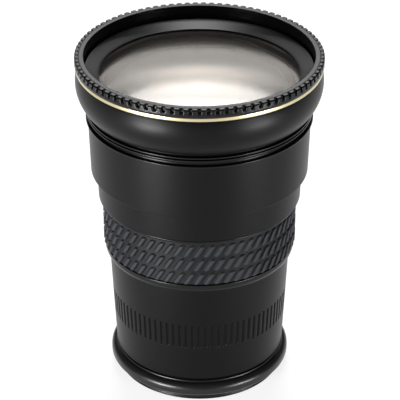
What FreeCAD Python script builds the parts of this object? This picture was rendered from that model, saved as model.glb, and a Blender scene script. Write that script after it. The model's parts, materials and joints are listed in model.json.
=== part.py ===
import FreeCAD, Part
import math
import os
import Sketcher

# Screw-on telephoto conversion lens, in millimetres. The origin lies on the optical axis at
# the end face of the rear thread, and +Z points to the front glass. The rear thread's radius
# sets the width: every other radius is a step or a wall counted outwards from it.

doc = FreeCAD.newDocument("teleconverter_lens")
sheet = doc.addObject("Spreadsheet::Sheet", "Sizes")

DRIVING_SIZES = {
    # rear mount ring
    "rear_thread_radius": 31.0,
    "rear_thread_length": 3.0,
    "rear_thread_chamfer": 0.3,
    "rear_thread_relief": 0.5,
    "rear_thread_wall": 3.5,
    "mount_ring_flange": 2.3,
    "mount_ring_height": 4.9,
    "mount_ring_round": 1.6,
    "mount_ring_chamfer": 0.5,
    "mount_ring_floor": 1.0,
    "mount_ring_play": 0.08,
    "mount_ring_gap": 0.5,
    # rear lens cell and its glass
    "tail_step": 1.9,
    "tail_wall": 2.7,
    "tail_depth": 3.0,
    "rear_cell_shoulder": 0.45,
    "rear_cell_floor": 1.3,
    "rear_cell_body": 10.4,
    "rear_glass_lip": 2.8,
    "rear_glass_ledge": 1.4,
    "rear_glass_curve": 100.0,
    "rear_glass_centre": 2.2,
    "rear_retainer_height": 2.0,
    # rear barrel
    "rear_barrel_height": 40.1,
    "rear_barrel_wall": 1.34,
    "rear_barrel_taper": 2.06,
    "rear_barrel_lip": 2.0,
    "rear_spigot_wall": 1.9,
    "rear_spigot_height": 7.5,
    "flute_count": 86,
    "flute_foot": 15.4,
    "flute_height": 9.3,
    "flute_width": 1.1,
    "flute_depth": 0.35,
    # neck with the shoulder, the rubber and the stop ring
    "neck_wall": 1.4,
    "shoulder_height": 3.5,
    "shoulder_wall": 0.7,
    "shoulder_swell": 0.8,
    "grip_height": 16.9,
    "grip_wall": 1.3,
    "rib_count": 60,
    "rib_height": 0.85,
    "rib_root": 0.3,
    "rib_length": 4.6,
    "rib_width": 1.55,
    "rib_lean": 24.0,
    "rib_row_pitch": 5.7,
    "stop_ring_height": 2.0,
    "stop_ring_wall": 2.1,
    "stop_ring_bead": 0.7,
    "stop_ring_land": 0.3,
    # middle barrel
    "middle_barrel_height": 9.2,
    "middle_barrel_step": 3.15,
    "middle_barrel_taper": 0.8,
    "middle_barrel_floor": 1.8,
    "middle_barrel_ledge": 1.0,
    "middle_spigot_wall": 1.9,
    "middle_spigot_height": 6.0,
    # front barrel
    "front_barrel_height": 22.3,
    "front_barrel_step": 1.7,
    "front_barrel_taper": 0.5,
    "front_barrel_relief": 0.45,
    "front_barrel_chamfer": 0.25,
    # coupling ring and groove ring
    "coupling_seat": 1.0,
    "coupling_wall": 1.6,
    "coupling_height": 1.8,
    "coupling_lip": 0.8,
    "coupling_lip_height": 0.8,
    "coupling_drop": 0.45,
    "groove_wall": 1.0,
    "groove_height": 2.8,
    "groove_lip": 0.6,
    "groove_lip_height": 0.55,
    # front lens cell
    "cell_play": 0.2,
    "lower_cell_wall": 2.0,
    "cell_step": 2.6,
    "cell_wall": 1.35,
    "cell_lip_height": 1.2,
    "cell_lip_width": 1.3,
    "cell_flange_step": 1.65,
    "cell_flange_height": 6.4,
    "cell_seat_height": 5.6,
    # front glass group
    "front_glass_setback": 3.55,
    "crown_curve": 155.0,
    "crown_edge": 2.0,
    "cement_curve": 130.0,
    "flint_centre": 3.5,
    "flint_curve": 900.0,
    "flint_to_second": 2.4,
    "second_front_curve": 160.0,
    "second_rear_curve": 400.0,
    "second_edge": 2.2,
    "spacer_wall": 1.2,
    "retainer_cover": 2.6,
    "retainer_drop": 1.6,
    "retainer_skirt": 2.2,
    "retainer_skirt_step": 2.0,
    "retainer_skirt_wall": 0.9,
    # bell housing
    "bell_neck_wall": 0.7,
    "bell_neck_height": 0.8,
    "bell_foot_step": 1.6,
    "bell_swell": 2.7,
    "bell_curve_height": 7.3,
    "bell_taper": 0.6,
    "bell_height": 13.8,
    # filter ring, accent ring and toothed ring
    "filter_thread_step": 2.45,
    "filter_thread_length": 3.4,
    "filter_thread_chamfer": 0.3,
    "filter_thread_relief": 0.5,
    "filter_relief_width": 1.4,
    "filter_ring_wall": 1.3,
    "accent_height": 1.5,
    "accent_width": 1.55,
    "rim_height": 3.5,
    "rim_width": 2.05,
    "tooth_count": 90,
    "notch_width": 1.4,
    "notch_height": 1.6,
    "notch_depth": 1.5,
    # baffle
    "baffle_rear_step": 0.2,
    "baffle_front_step": 3.4,
    "baffle_wall": 0.8,
    "baffle_flange": 1.2,
    # lock screws
    "lock_screw_count": 3,
    "lock_screw_radius": 1.0,
    "lock_screw_length": 3.0,
    "lock_screw_height": 5.5,
    "lock_head_radius": 1.9,
    "lock_head_height": 0.9,
    # gaps: seated faces, pieces that only pass each other, and how far a cutter starts outside
    "seat_gap": 0.05,
    "part_gap": 0.15,
    "cutter_reach": 1.0,
}

for row, (alias, value) in enumerate(DRIVING_SIZES.items(), start=1):
    sheet.set("A%d" % row, alias)
    sheet.set("B%d" % row, "%g" % value)
    sheet.setAlias("B%d" % row, alias)
doc.recompute()


class Size:
    """A length together with the sheet formula that gives it, so that both stay in step."""

    def __init__(self, number, formula):
        self.number = number
        self.formula = formula

    def joined(self, other, sign, number):
        if not isinstance(other, Size):
            other = Size(other, "%g" % other)
        return Size(number, "(%s %s %s)" % (self.formula, sign, other.formula))

    def __add__(self, other):
        return self.joined(other, "+", self.number + number_of(other))

    def __sub__(self, other):
        return self.joined(other, "-", self.number - number_of(other))

    def __mul__(self, other):
        return self.joined(other, "*", self.number * number_of(other))

    def __truediv__(self, other):
        return self.joined(other, "/", self.number / number_of(other))


def number_of(value):
    return value.number if isinstance(value, Size) else value


def size(alias):
    """The driving size of that name."""
    return Size(float(sheet.get(alias)), "Sizes.%s" % alias)


def sag(curve, radius):
    """How far a spherical face of that curve falls between its vertex and that radius."""
    depth = curve.number - math.sqrt(curve.number ** 2 - radius.number ** 2)
    root = "sqrt(%s * %s - %s * %s)" % (curve.formula, curve.formula, radius.formula, radius.formula)
    return Size(depth, "(%s - %s)" % (curve.formula, root))


def tangent_of(degrees):
    return Size(math.tan(math.radians(degrees.number)), "tan(%s * 1deg)" % degrees.formula)


ZERO = Size(0.0, "0")
seat_gap = size("seat_gap")
part_gap = size("part_gap")

# Radii, outwards from the rear thread.
rear_thread = size("rear_thread_radius")
mount_ring_bore = rear_thread - size("rear_thread_wall")
tail_radius = rear_thread - size("tail_step")
tail_bore = tail_radius - size("tail_wall")
rear_aperture = tail_bore - size("rear_glass_lip")
rear_glass_radius = rear_aperture + size("rear_glass_ledge")
rear_cell_radius = tail_radius + size("rear_cell_shoulder")
rear_barrel_bore = rear_cell_radius + seat_gap
rear_barrel_foot_radius = rear_barrel_bore + size("rear_barrel_wall")
rear_barrel_top_radius = rear_barrel_foot_radius + size("rear_barrel_taper")
rear_spigot_radius = rear_barrel_bore + size("rear_spigot_wall")
neck_bore = rear_spigot_radius + seat_gap
neck_radius = neck_bore + size("neck_wall")
sleeve_bore = neck_radius + seat_gap
grip_radius = sleeve_bore + size("grip_wall")
middle_foot_radius = neck_radius + size("middle_barrel_step")
middle_top_radius = middle_foot_radius + size("middle_barrel_taper")
middle_spigot_radius = middle_top_radius - size("middle_barrel_ledge")
front_barrel_socket = middle_spigot_radius + seat_gap
front_barrel_bore = front_barrel_socket + size("front_barrel_relief")
front_barrel_foot_radius = middle_top_radius + size("front_barrel_step")
front_barrel_top_radius = front_barrel_foot_radius + size("front_barrel_taper")
coupling_seat_radius = front_barrel_bore + size("coupling_seat")
coupling_spigot_radius = coupling_seat_radius - seat_gap
coupling_bore = coupling_spigot_radius - size("coupling_wall")
lower_cell_radius = coupling_bore - size("cell_play")
second_glass_bore = lower_cell_radius - size("lower_cell_wall")
second_glass_radius = second_glass_bore - seat_gap
cell_radius = lower_cell_radius + size("cell_step")
front_glass_radius = cell_radius - size("cell_wall")
cell_flange_radius = cell_radius + size("cell_flange_step")
front_collar_bore = cell_radius + part_gap
groove_floor_radius = front_collar_bore + size("groove_wall")
bell_neck_radius = front_collar_bore + size("bell_neck_wall")
bell_foot_radius = bell_neck_radius + size("bell_foot_step")
bell_widest_radius = bell_foot_radius + size("bell_swell")
filter_thread_bore = cell_radius + size("filter_thread_step")
filter_relief_bore = filter_thread_bore + size("filter_thread_relief")
filter_ring_radius = filter_thread_bore + size("filter_ring_wall")
rim_bore = filter_ring_radius + seat_gap

# Heights, upwards from the end face of the rear thread.
ring_foot = size("rear_thread_length")
ring_top = ring_foot + size("mount_ring_height")
barrel_foot = ring_top + size("mount_ring_gap")
rear_top = barrel_foot + size("rear_barrel_height")
shoulder_top = rear_top + size("shoulder_height")
grip_foot = shoulder_top + part_gap
grip_top = grip_foot + size("grip_height")
stop_foot = grip_top + part_gap
stop_top = stop_foot + size("stop_ring_height")
middle_top = stop_top + size("middle_barrel_height")
front_barrel_top = middle_top + size("front_barrel_height")
coupling_top = front_barrel_top + size("coupling_height")
groove_top = coupling_top + size("groove_height")
bell_foot = groove_top + size("bell_neck_height")
bell_top = bell_foot + size("bell_height")
accent_top = bell_top + size("accent_height")
front_top = accent_top + size("rim_height")

# Heights in the rear cell.
socket_floor = ring_foot + size("mount_ring_floor")
tail_foot = socket_floor + size("mount_ring_play")
rear_lip_foot = tail_foot + size("tail_depth")
rear_glass_foot = rear_lip_foot + size("rear_cell_floor")
rear_glass_sag = sag(size("rear_glass_curve"), rear_glass_radius)
rear_glass_top = rear_glass_foot + size("rear_glass_centre") + rear_glass_sag * 2
rear_cell_seat = barrel_foot + size("rear_barrel_lip")
rear_cell_top = rear_cell_seat + size("rear_cell_body")

# Heights in the front cell, downwards from the front glass.
crown_vertex = front_top - size("front_glass_setback")
crown_edge_top = crown_vertex - sag(size("crown_curve"), front_glass_radius)
cement_edge = crown_edge_top - size("crown_edge")
cement_vertex = cement_edge - sag(size("cement_curve"), front_glass_radius)
flint_vertex = cement_vertex - size("flint_centre")
flint_foot = flint_vertex - sag(size("flint_curve"), front_glass_radius)
second_vertex = flint_vertex - size("flint_to_second")
second_edge_top = second_vertex - sag(size("second_front_curve"), second_glass_radius)
second_foot = second_edge_top - size("second_edge")
cell_foot = second_foot - size("cell_lip_height")
flange_foot = groove_top + size("cell_seat_height")
flange_top = flange_foot + size("cell_flange_height")
skirt_foot = flange_top - size("retainer_skirt")
coupling_foot = cell_foot - size("coupling_drop")
baffle_top = coupling_foot - seat_gap


def origin_plane(body, role):
    for feature in body.Origin.OriginFeatures:
        if feature.Role == role:
            return feature
    raise ValueError("no plane %s" % role)


def new_sketch(body, name, reach=None):
    """A sketch on the body's upright plane, where X runs across and Y is the height. With a
    reach it lies that far in front of the axis."""
    sketch = body.newObject("Sketcher::SketchObject", name)
    sketch.AttachmentSupport = [(origin_plane(body, "XZ_Plane"), "")]
    sketch.MapMode = "FlatFace"
    if reach is not None:
        sketch.AttachmentOffset = FreeCAD.Placement(FreeCAD.Vector(0, 0, reach.number), FreeCAD.Rotation())
        sketch.setExpression("AttachmentOffset.Base.z", reach.formula)
    return sketch


def bind(sketch, kind, geometry, point, length):
    """Hold one coordinate of a sketch point at a sheet formula."""
    if length is ZERO:
        axis = -2 if kind == "DistanceX" else -1
        sketch.addConstraint(Sketcher.Constraint("PointOnObject", geometry, point, axis))
        return
    index = sketch.addConstraint(Sketcher.Constraint(kind, -1, 1, geometry, point, length.number))
    sketch.setExpression("Constraints[%d]" % index, length.formula)


def bind_radius(sketch, geometry, radius):
    index = sketch.addConstraint(Sketcher.Constraint("Radius", geometry, radius.number))
    sketch.setExpression("Constraints[%d]" % index, radius.formula)


def arc_between(start, end, radius, side):
    """Arc from start to end, its centre on the left (side 1) or the right (side -1) of the way."""
    chord = end - start
    half = chord.Length / 2
    across = FreeCAD.Vector(-chord.y, chord.x, 0) / chord.Length
    centre = start + chord / 2 + across * (side * math.sqrt(max(radius ** 2 - half ** 2, 0.0)))
    first = math.atan2(start.y - centre.y, start.x - centre.x)
    last = math.atan2(end.y - centre.y, end.x - centre.x)
    if side < 0:
        first, last = last, first
    if last < first:
        last += 2 * math.pi
    return Part.ArcOfCircle(Part.Circle(centre, FreeCAD.Vector(0, 0, 1), radius), first, last)


def draw_outline(sketch, outline):
    """Closed outline through (radius, height) corners. A corner with a third and fourth entry
    is reached by an arc of that radius and side, and the others by a straight line."""
    corners = [FreeCAD.Vector(corner[0].number, corner[1].number, 0) for corner in outline]
    ends = []
    for index, corner in enumerate(outline):
        start = corners[index - 1]
        if len(corner) == 2:
            sketch.addGeometry(Part.LineSegment(start, corners[index]))
            ends.append((1, 2))
        else:
            sketch.addGeometry(arc_between(start, corners[index], corner[2].number, corner[3]))
            ends.append((1, 2) if corner[3] > 0 else (2, 1))
    for index, corner in enumerate(outline):
        following = (index + 1) % len(outline)
        sketch.addConstraint(
            Sketcher.Constraint("Coincident", index, ends[index][1], following, ends[following][0]))
        bind(sketch, "DistanceX", index, ends[index][1], corner[0])
        bind(sketch, "DistanceY", index, ends[index][1], corner[1])
        if len(corner) > 2:
            bind_radius(sketch, index, corner[2])


def draw_slot(sketch, middle, half_run_x, half_run_y, radius):
    """A slot with round ends on the sketch's height line, half a run to each side of its middle."""
    first = sketch.GeometryCount
    high = FreeCAD.Vector(half_run_x.number, (middle + half_run_y).number, 0)
    low = FreeCAD.Vector(-half_run_x.number, (middle - half_run_y).number, 0)
    lean = math.atan2(high.y - low.y, high.x - low.x)
    across = FreeCAD.Vector(-math.sin(lean), math.cos(lean), 0) * radius.number
    top = Part.Circle(high, FreeCAD.Vector(0, 0, 1), radius.number)
    foot = Part.Circle(low, FreeCAD.Vector(0, 0, 1), radius.number)
    sketch.addGeometry(Part.ArcOfCircle(top, lean - math.pi / 2, lean + math.pi / 2))
    sketch.addGeometry(Part.LineSegment(high + across, low + across))
    sketch.addGeometry(Part.ArcOfCircle(foot, lean + math.pi / 2, lean + math.pi * 3 / 2))
    sketch.addGeometry(Part.LineSegment(low - across, high - across))
    for step in range(4):
        following = first + (step + 1) % 4
        sketch.addConstraint(Sketcher.Constraint("Tangent", first + step, 2, following, 1))
    for arc, sign in ((first, 1), (first + 2, -1)):
        bind(sketch, "DistanceX", arc, 3, half_run_x if half_run_x is ZERO else half_run_x * sign)
        bind(sketch, "DistanceY", arc, 3, middle + half_run_y * sign)
    bind_radius(sketch, first, radius)


def draw_circle(sketch, height, radius):
    centre = FreeCAD.Vector(0, height.number, 0)
    sketch.addGeometry(Part.Circle(centre, FreeCAD.Vector(0, 0, 1), radius.number))
    bind(sketch, "DistanceX", 0, 3, ZERO)
    bind(sketch, "DistanceY", 0, 3, height)
    bind_radius(sketch, 0, radius)


def turned(name, outline):
    """A piece turned about the optical axis from its closed half outline."""
    body = doc.addObject("PartDesign::Body", name)
    body.Label = name
    sketch = new_sketch(body, name + "_outline")
    draw_outline(sketch, outline)
    doc.recompute()
    turning = body.newObject("PartDesign::Revolution", name + "_turning")
    turning.Profile = sketch
    turning.ReferenceAxis = (sketch, ["V_Axis"])
    turning.Angle = 360.0
    doc.recompute()
    return body


def repeated_feature(body, kind, name, sketch, depth, count):
    """Sink a pocket or raise a pad from the sketch, then repeat it evenly round the axis."""
    doc.recompute()
    before = body.Shape.Volume
    feature = body.newObject("PartDesign::" + kind, name)
    feature.Profile = sketch
    feature.Length = depth.number
    feature.setExpression("Length", depth.formula)
    doc.recompute()
    grown = body.Shape.Volume - before
    if grown == 0 or (grown > 0) != (kind == "Pad"):
        raise ValueError("%s does not change %s as it should" % (name, body.Label))
    pattern = body.newObject("PartDesign::PolarPattern", name + "_round")
    pattern.Originals = [feature]
    pattern.Axis = (origin_plane(body, "Z_Axis"), [""])
    pattern.Angle = 360.0
    pattern.setExpression("Occurrences", "Sizes.%s" % count)
    body.Tip = pattern
    doc.recompute()


def rear_mount_ring():
    """Ring with the male thread below, a flange that seats on the camera lens and a socket above."""
    chamfer = size("rear_thread_chamfer")
    relief = size("rear_thread_relief")
    outer = rear_thread + size("mount_ring_flange")
    edge = size("mount_ring_chamfer")
    rounding = size("mount_ring_round")
    socket = tail_radius + size("mount_ring_play")
    turned("rear_mount_ring", [
        (mount_ring_bore, ZERO),
        (rear_thread - chamfer, ZERO),
        (rear_thread, chamfer),
        (rear_thread, ring_foot - relief),
        (rear_thread - relief, ring_foot - relief),
        (rear_thread - relief, ring_foot),
        (outer - edge, ring_foot),
        (outer, ring_foot + edge),
        (outer, ring_top - rounding),
        (outer - rounding, ring_top, rounding, 1),
        (socket, ring_top),
        (socket, socket_floor),
        (mount_ring_bore, socket_floor),
    ])


def rear_lens_cell():
    """Tube with a thin tail for the mount ring, a lip under the glass and a shoulder on the barrel."""
    glass_bore = rear_glass_radius + seat_gap
    turned("rear_lens_cell", [
        (tail_bore, tail_foot),
        (tail_radius, tail_foot),
        (tail_radius, rear_cell_seat),
        (rear_cell_radius, rear_cell_seat),
        (rear_cell_radius, rear_cell_top),
        (glass_bore, rear_cell_top),
        (glass_bore, rear_glass_foot),
        (rear_aperture, rear_glass_foot),
        (rear_aperture, rear_lip_foot),
        (tail_bore, rear_lip_foot),
    ])


def rear_negative_element():
    """Glass that is hollow on both faces."""
    curve = size("rear_glass_curve")
    turned("rear_negative_element", [
        (ZERO, rear_glass_foot + rear_glass_sag),
        (rear_glass_radius, rear_glass_foot, curve, -1),
        (rear_glass_radius, rear_glass_top),
        (ZERO, rear_glass_top - rear_glass_sag, curve, -1),
    ])


def rear_retaining_ring():
    """Plain ring screwed down on the rear glass."""
    top = rear_glass_top + size("rear_retainer_height")
    turned("rear_retaining_ring", [
        (rear_aperture, rear_glass_top),
        (rear_glass_radius, rear_glass_top),
        (rear_glass_radius, top),
        (rear_aperture, top),
    ])


def rear_barrel():
    """Tapered tube with a lip for the rear cell, a spigot on top and a band of flutes."""
    lip = tail_radius + seat_gap
    spigot_top = rear_top + size("rear_spigot_height")
    body = turned("rear_barrel", [
        (lip, barrel_foot),
        (rear_barrel_foot_radius, barrel_foot),
        (rear_barrel_top_radius, rear_top),
        (rear_spigot_radius, rear_top),
        (rear_spigot_radius, spigot_top),
        (rear_barrel_bore, spigot_top),
        (rear_barrel_bore, rear_cell_seat),
        (lip, rear_cell_seat),
    ])
    cut_flutes(body)
    cut_lock_holes(body, "lock_clearance", size("lock_screw_radius"), rear_barrel_bore)


def cut_flutes(body):
    """Upright slots with round ends, sunk square to the tapered wall."""
    slope = size("rear_barrel_taper") / size("rear_barrel_height")
    rise = size("flute_foot") + size("flute_height") / 2
    height = barrel_foot + rise
    sketch = new_sketch(body, "flute_outline", rear_barrel_foot_radius + slope * rise)
    offset = sketch.AttachmentOffset
    offset.Base.y = height.number
    offset.Rotation = FreeCAD.Rotation(FreeCAD.Vector(1, 0, 0), math.degrees(math.atan(slope.number)))
    sketch.AttachmentOffset = offset
    sketch.setExpression("AttachmentOffset.Base.y", height.formula)
    sketch.setExpression("AttachmentOffset.Rotation.Angle", "atan(%s)" % slope.formula)
    half_width = size("flute_width") / 2
    draw_slot(sketch, size("flute_height") * 0, ZERO, size("flute_height") / 2 - half_width, half_width)
    repeated_feature(body, "Pocket", "flute", sketch, size("flute_depth"), "flute_count")


def cut_lock_holes(body, name, radius, down_to):
    """Round holes for the lock screws, from outside the neck down to a radius."""
    reach = neck_radius + size("cutter_reach")
    sketch = new_sketch(body, name + "_outline", reach)
    draw_circle(sketch, rear_top + size("lock_screw_height"), radius + seat_gap)
    repeated_feature(body, "Pocket", name, sketch, reach - down_to + seat_gap, "lock_screw_count")


def middle_barrel():
    """Short tapered barrel. Its neck runs down under the rubber, its spigot up into the front barrel."""
    spigot_bore = middle_spigot_radius - size("middle_spigot_wall")
    spigot_top = middle_top + size("middle_spigot_height")
    floor_top = stop_top + size("middle_barrel_floor")
    body = turned("middle_barrel", [
        (neck_bore, rear_top),
        (neck_radius, rear_top),
        (neck_radius, stop_top),
        (middle_foot_radius, stop_top),
        (middle_top_radius, middle_top),
        (middle_spigot_radius, middle_top),
        (middle_spigot_radius, spigot_top),
        (spigot_bore, spigot_top),
        (spigot_bore, floor_top),
        (neck_bore, floor_top),
    ])
    cut_lock_holes(body, "lock_hole", size("lock_screw_radius"), neck_bore)
    cut_lock_holes(body, "lock_seat", size("lock_head_radius"), neck_radius - size("lock_head_height"))


def barrel_lock_screws():
    """Radial screws with flat heads that lie under the rubber."""
    height = (rear_top + size("lock_screw_height")).number
    head_top = (neck_radius - seat_gap).number
    head = size("lock_head_height").number
    shank = size("lock_screw_length").number - head
    inwards = FreeCAD.Vector(0, 1, 0)
    screw = Part.makeCylinder(
        size("lock_head_radius").number, head, FreeCAD.Vector(0, -head_top, height), inwards)
    screw = screw.fuse(Part.makeCylinder(
        size("lock_screw_radius").number, shank, FreeCAD.Vector(0, head - head_top, height), inwards))
    count = int(sheet.get("lock_screw_count"))
    screws = []
    for index in range(count):
        placed = screw.copy()
        placed.rotate(FreeCAD.Vector(), FreeCAD.Vector(0, 0, 1), 360.0 * index / count)
        screws.append(placed)
    feature = doc.addObject("Part::Feature", "barrel_lock_screws")
    feature.Label = "barrel_lock_screws"
    feature.Shape = Part.makeCompound(screws)
    feature.Placement = FreeCAD.Placement()


def grip_shoulder_ring():
    """Ring under the rubber that swells from its foot in a short curve."""
    foot = sleeve_bore + size("shoulder_wall")
    swell = size("shoulder_swell")
    turned("grip_shoulder_ring", [
        (sleeve_bore, rear_top),
        (foot, rear_top),
        (foot + swell, rear_top + swell * 2, swell * 2.5, 1),
        (foot + swell, shoulder_top),
        (sleeve_bore, shoulder_top),
    ])


def rubber_grip():
    """Sleeve with rows of slanted ribs, each a flat-topped bar with round ends."""
    body = turned("rubber_grip", [
        (sleeve_bore, grip_foot),
        (grip_radius, grip_foot),
        (grip_radius, grip_top),
        (sleeve_bore, grip_top),
    ])
    root = size("rib_root")
    sketch = new_sketch(body, "rib_outline", grip_radius - root)
    half_width = size("rib_width") / 2
    half_rise = size("rib_length") / 2 - half_width
    half_lean = half_rise * tangent_of(size("rib_lean"))
    middle = grip_foot + size("grip_height") / 2
    for row in (-1, 0, 1):
        draw_slot(sketch, middle + size("rib_row_pitch") * row, half_lean, half_rise, half_width)
    repeated_feature(body, "Pad", "ribs", sketch, root + size("rib_height"), "rib_count")


def grip_stop_ring():
    """Ring over the rubber: a flat bead between two narrow lands."""
    land = sleeve_bore + size("stop_ring_wall")
    bead = land + size("stop_ring_bead")
    step = size("stop_ring_land")
    turned("grip_stop_ring", [
        (sleeve_bore, stop_foot),
        (land, stop_foot),
        (land, stop_foot + step),
        (bead, stop_foot + step * 2),
        (bead, stop_top - step * 2),
        (land, stop_top - step),
        (land, stop_top),
        (sleeve_bore, stop_top),
    ])


def front_barrel():
    """Wide tapered tube: it sits on the middle barrel's shoulder and takes the coupling ring."""
    socket_top = middle_top + size("middle_spigot_height") + seat_gap
    chamfer = size("front_barrel_chamfer")
    turned("front_barrel", [
        (front_barrel_socket, middle_top),
        (front_barrel_foot_radius - chamfer, middle_top),
        (front_barrel_foot_radius, middle_top + chamfer),
        (front_barrel_top_radius, front_barrel_top),
        (coupling_seat_radius, front_barrel_top),
        (coupling_seat_radius, baffle_top),
        (front_barrel_bore, baffle_top),
        (front_barrel_bore, socket_top),
        (front_barrel_socket, socket_top),
    ])


def coupling_ring():
    """Ring with a spigot down into the front barrel, a proud lip and a recessed band above it."""
    lip = groove_floor_radius + size("coupling_lip")
    lip_top = front_barrel_top + size("coupling_lip_height")
    turned("coupling_ring", [
        (coupling_bore, coupling_foot),
        (coupling_spigot_radius, coupling_foot),
        (coupling_spigot_radius, front_barrel_top),
        (lip, front_barrel_top),
        (lip, lip_top),
        (groove_floor_radius, lip_top),
        (groove_floor_radius, coupling_top),
        (coupling_bore, coupling_top),
    ])


def groove_ring():
    """Thin ring with two proud lips and a groove between them."""
    lip = groove_floor_radius + size("groove_lip")
    height = size("groove_lip_height")
    turned("groove_ring", [
        (front_collar_bore, coupling_top),
        (groove_floor_radius, coupling_top),
        (groove_floor_radius, groove_top - height * 3),
        (lip, groove_top - height * 3),
        (lip, groove_top - height * 2),
        (groove_floor_radius, groove_top - height * 2),
        (groove_floor_radius, groove_top - height),
        (lip, groove_top - height),
        (lip, groove_top),
        (front_collar_bore, groove_top),
    ])


def bell_housing():
    """Wide housing of the front group: drawn in round at its foot, then a wall that tapers a little."""
    swell = size("bell_swell")
    rise = size("bell_curve_height")
    curve = (swell * swell + rise * rise) / (swell * 2)
    seat_bore = cell_flange_radius + seat_gap
    turned("bell_housing", [
        (front_collar_bore, groove_top),
        (bell_neck_radius, groove_top),
        (bell_neck_radius, bell_foot),
        (bell_foot_radius, bell_foot),
        (bell_widest_radius, bell_foot + rise, curve, 1),
        (bell_widest_radius - size("bell_taper"), bell_top),
        (rim_bore, bell_top),
        (rim_bore, flange_top),
        (seat_bore, flange_top),
        (seat_bore, flange_foot),
        (front_collar_bore, flange_foot),
    ])


def gold_accent_ring():
    """Flat ring clamped between the bell housing and the toothed ring."""
    outer = rim_bore + size("accent_width")
    turned("gold_accent_ring", [
        (rim_bore, bell_top),
        (outer, bell_top),
        (outer, accent_top),
        (rim_bore, accent_top),
    ])


def toothed_grip_ring():
    """Outer front ring whose top corner is cut by U-shaped notches all round."""
    outer = rim_bore + size("rim_width")
    body = turned("toothed_grip_ring", [
        (rim_bore, accent_top),
        (outer, accent_top),
        (outer, front_top),
        (rim_bore, front_top),
    ])
    reach = size("cutter_reach")
    sketch = new_sketch(body, "notch_outline", outer + reach)
    half_width = size("notch_width") / 2
    half_run = size("notch_height") / 2
    middle = front_top - size("notch_height") + half_width + half_run
    draw_slot(sketch, middle, ZERO, half_run, half_width)
    repeated_feature(body, "Pocket", "notch", sketch, size("notch_depth") + reach, "tooth_count")


def front_filter_ring():
    """Inner front ring: filter thread with a lead-in chamfer, and a thin collar down into the bell."""
    chamfer = size("filter_thread_chamfer")
    thread_foot = front_top - size("filter_thread_length")
    turned("front_filter_ring", [
        (filter_relief_bore, flange_top),
        (filter_ring_radius, flange_top),
        (filter_ring_radius, front_top),
        (filter_thread_bore + chamfer, front_top),
        (filter_thread_bore, front_top - chamfer),
        (filter_thread_bore, thread_foot),
        (filter_relief_bore, thread_foot),
    ])


def front_retaining_ring():
    """Bevelled ring over the front glass, with a skirt that screws into the cell."""
    aperture = front_glass_radius - size("retainer_cover")
    outer = filter_thread_bore - part_gap
    skirt = front_glass_radius + size("retainer_skirt_step")
    skirt_bore = skirt - size("retainer_skirt_wall")
    top = front_top - size("filter_thread_length") - size("filter_relief_width") - part_gap
    cover_foot = crown_vertex - sag(size("crown_curve"), aperture) + seat_gap
    turned("front_retaining_ring", [
        (aperture, cover_foot),
        (front_glass_radius, crown_edge_top + part_gap),
        (skirt_bore, crown_edge_top + part_gap),
        (skirt_bore, skirt_foot),
        (skirt, skirt_foot),
        (skirt, flange_top),
        (outer, flange_top),
        (outer, top),
        (aperture, top - size("retainer_drop")),
    ])


def front_crown_element():
    """Domed front glass."""
    turned("front_crown_element", [
        (ZERO, cement_vertex),
        (front_glass_radius, cement_edge, size("cement_curve"), 1),
        (front_glass_radius, crown_edge_top),
        (ZERO, crown_vertex, size("crown_curve"), 1),
    ])


def front_flint_element():
    """Glass cemented under the crown, with a nearly flat hollow rear face."""
    turned("front_flint_element", [
        (ZERO, flint_vertex),
        (front_glass_radius, flint_foot, size("flint_curve"), -1),
        (front_glass_radius, cement_edge),
        (ZERO, cement_vertex, size("cement_curve"), -1),
    ])


def second_front_element():
    """Meniscus glass: domed front face, gently hollow rear face."""
    turned("second_front_element", [
        (ZERO, second_foot + sag(size("second_rear_curve"), second_glass_radius)),
        (second_glass_radius, second_foot, size("second_rear_curve"), -1),
        (second_glass_radius, second_edge_top),
        (ZERO, second_vertex, size("second_front_curve"), 1),
    ])


def element_spacer_ring():
    """Ring between the second glass and the cemented pair, bevelled to both faces."""
    outer = second_glass_radius
    inner = outer - size("spacer_wall")
    turned("element_spacer_ring", [
        (inner, second_vertex - sag(size("second_front_curve"), inner) + seat_gap),
        (outer, second_edge_top + seat_gap),
        (outer, flint_vertex - sag(size("flint_curve"), outer) - seat_gap),
        (inner, flint_vertex - sag(size("flint_curve"), inner) - seat_gap),
    ])


def front_lens_cell():
    """Stepped tube: a lip and small bore for the second glass, a wide bore for the cemented pair,
    a threaded mouth for the retaining ring, and a flange that seats in the bell."""
    lip = second_glass_bore - size("cell_lip_width")
    glass_bore = front_glass_radius + seat_gap
    mouth = front_glass_radius + size("retainer_skirt_step") + seat_gap
    turned("front_lens_cell", [
        (lip, cell_foot),
        (lower_cell_radius, cell_foot),
        (lower_cell_radius, coupling_top),
        (cell_radius, coupling_top),
        (cell_radius, flange_foot),
        (cell_flange_radius, flange_foot),
        (cell_flange_radius, flange_top),
        (mouth, flange_top),
        (mouth, skirt_foot - seat_gap),
        (glass_bore, skirt_foot - seat_gap),
        (glass_bore, flint_foot),
        (second_glass_bore, flint_foot),
        (second_glass_bore, second_foot),
        (lip, second_foot),
    ])


def baffle_tube():
    """Thin cone between the two cells, with a seat flange at each end."""
    rear = rear_aperture + size("baffle_rear_step")
    front = front_barrel_bore - size("baffle_front_step")
    wall = size("baffle_wall")
    flange = size("baffle_flange")
    turned("baffle_tube", [
        (rear, rear_cell_top),
        (rear_cell_radius, rear_cell_top),
        (rear_cell_radius, rear_cell_top + flange),
        (rear + wall, rear_cell_top + flange),
        (front + wall, baffle_top - flange),
        (front_barrel_bore - seat_gap, baffle_top - flange),
        (front_barrel_bore - seat_gap, baffle_top),
        (front, baffle_top),
    ])


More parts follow.
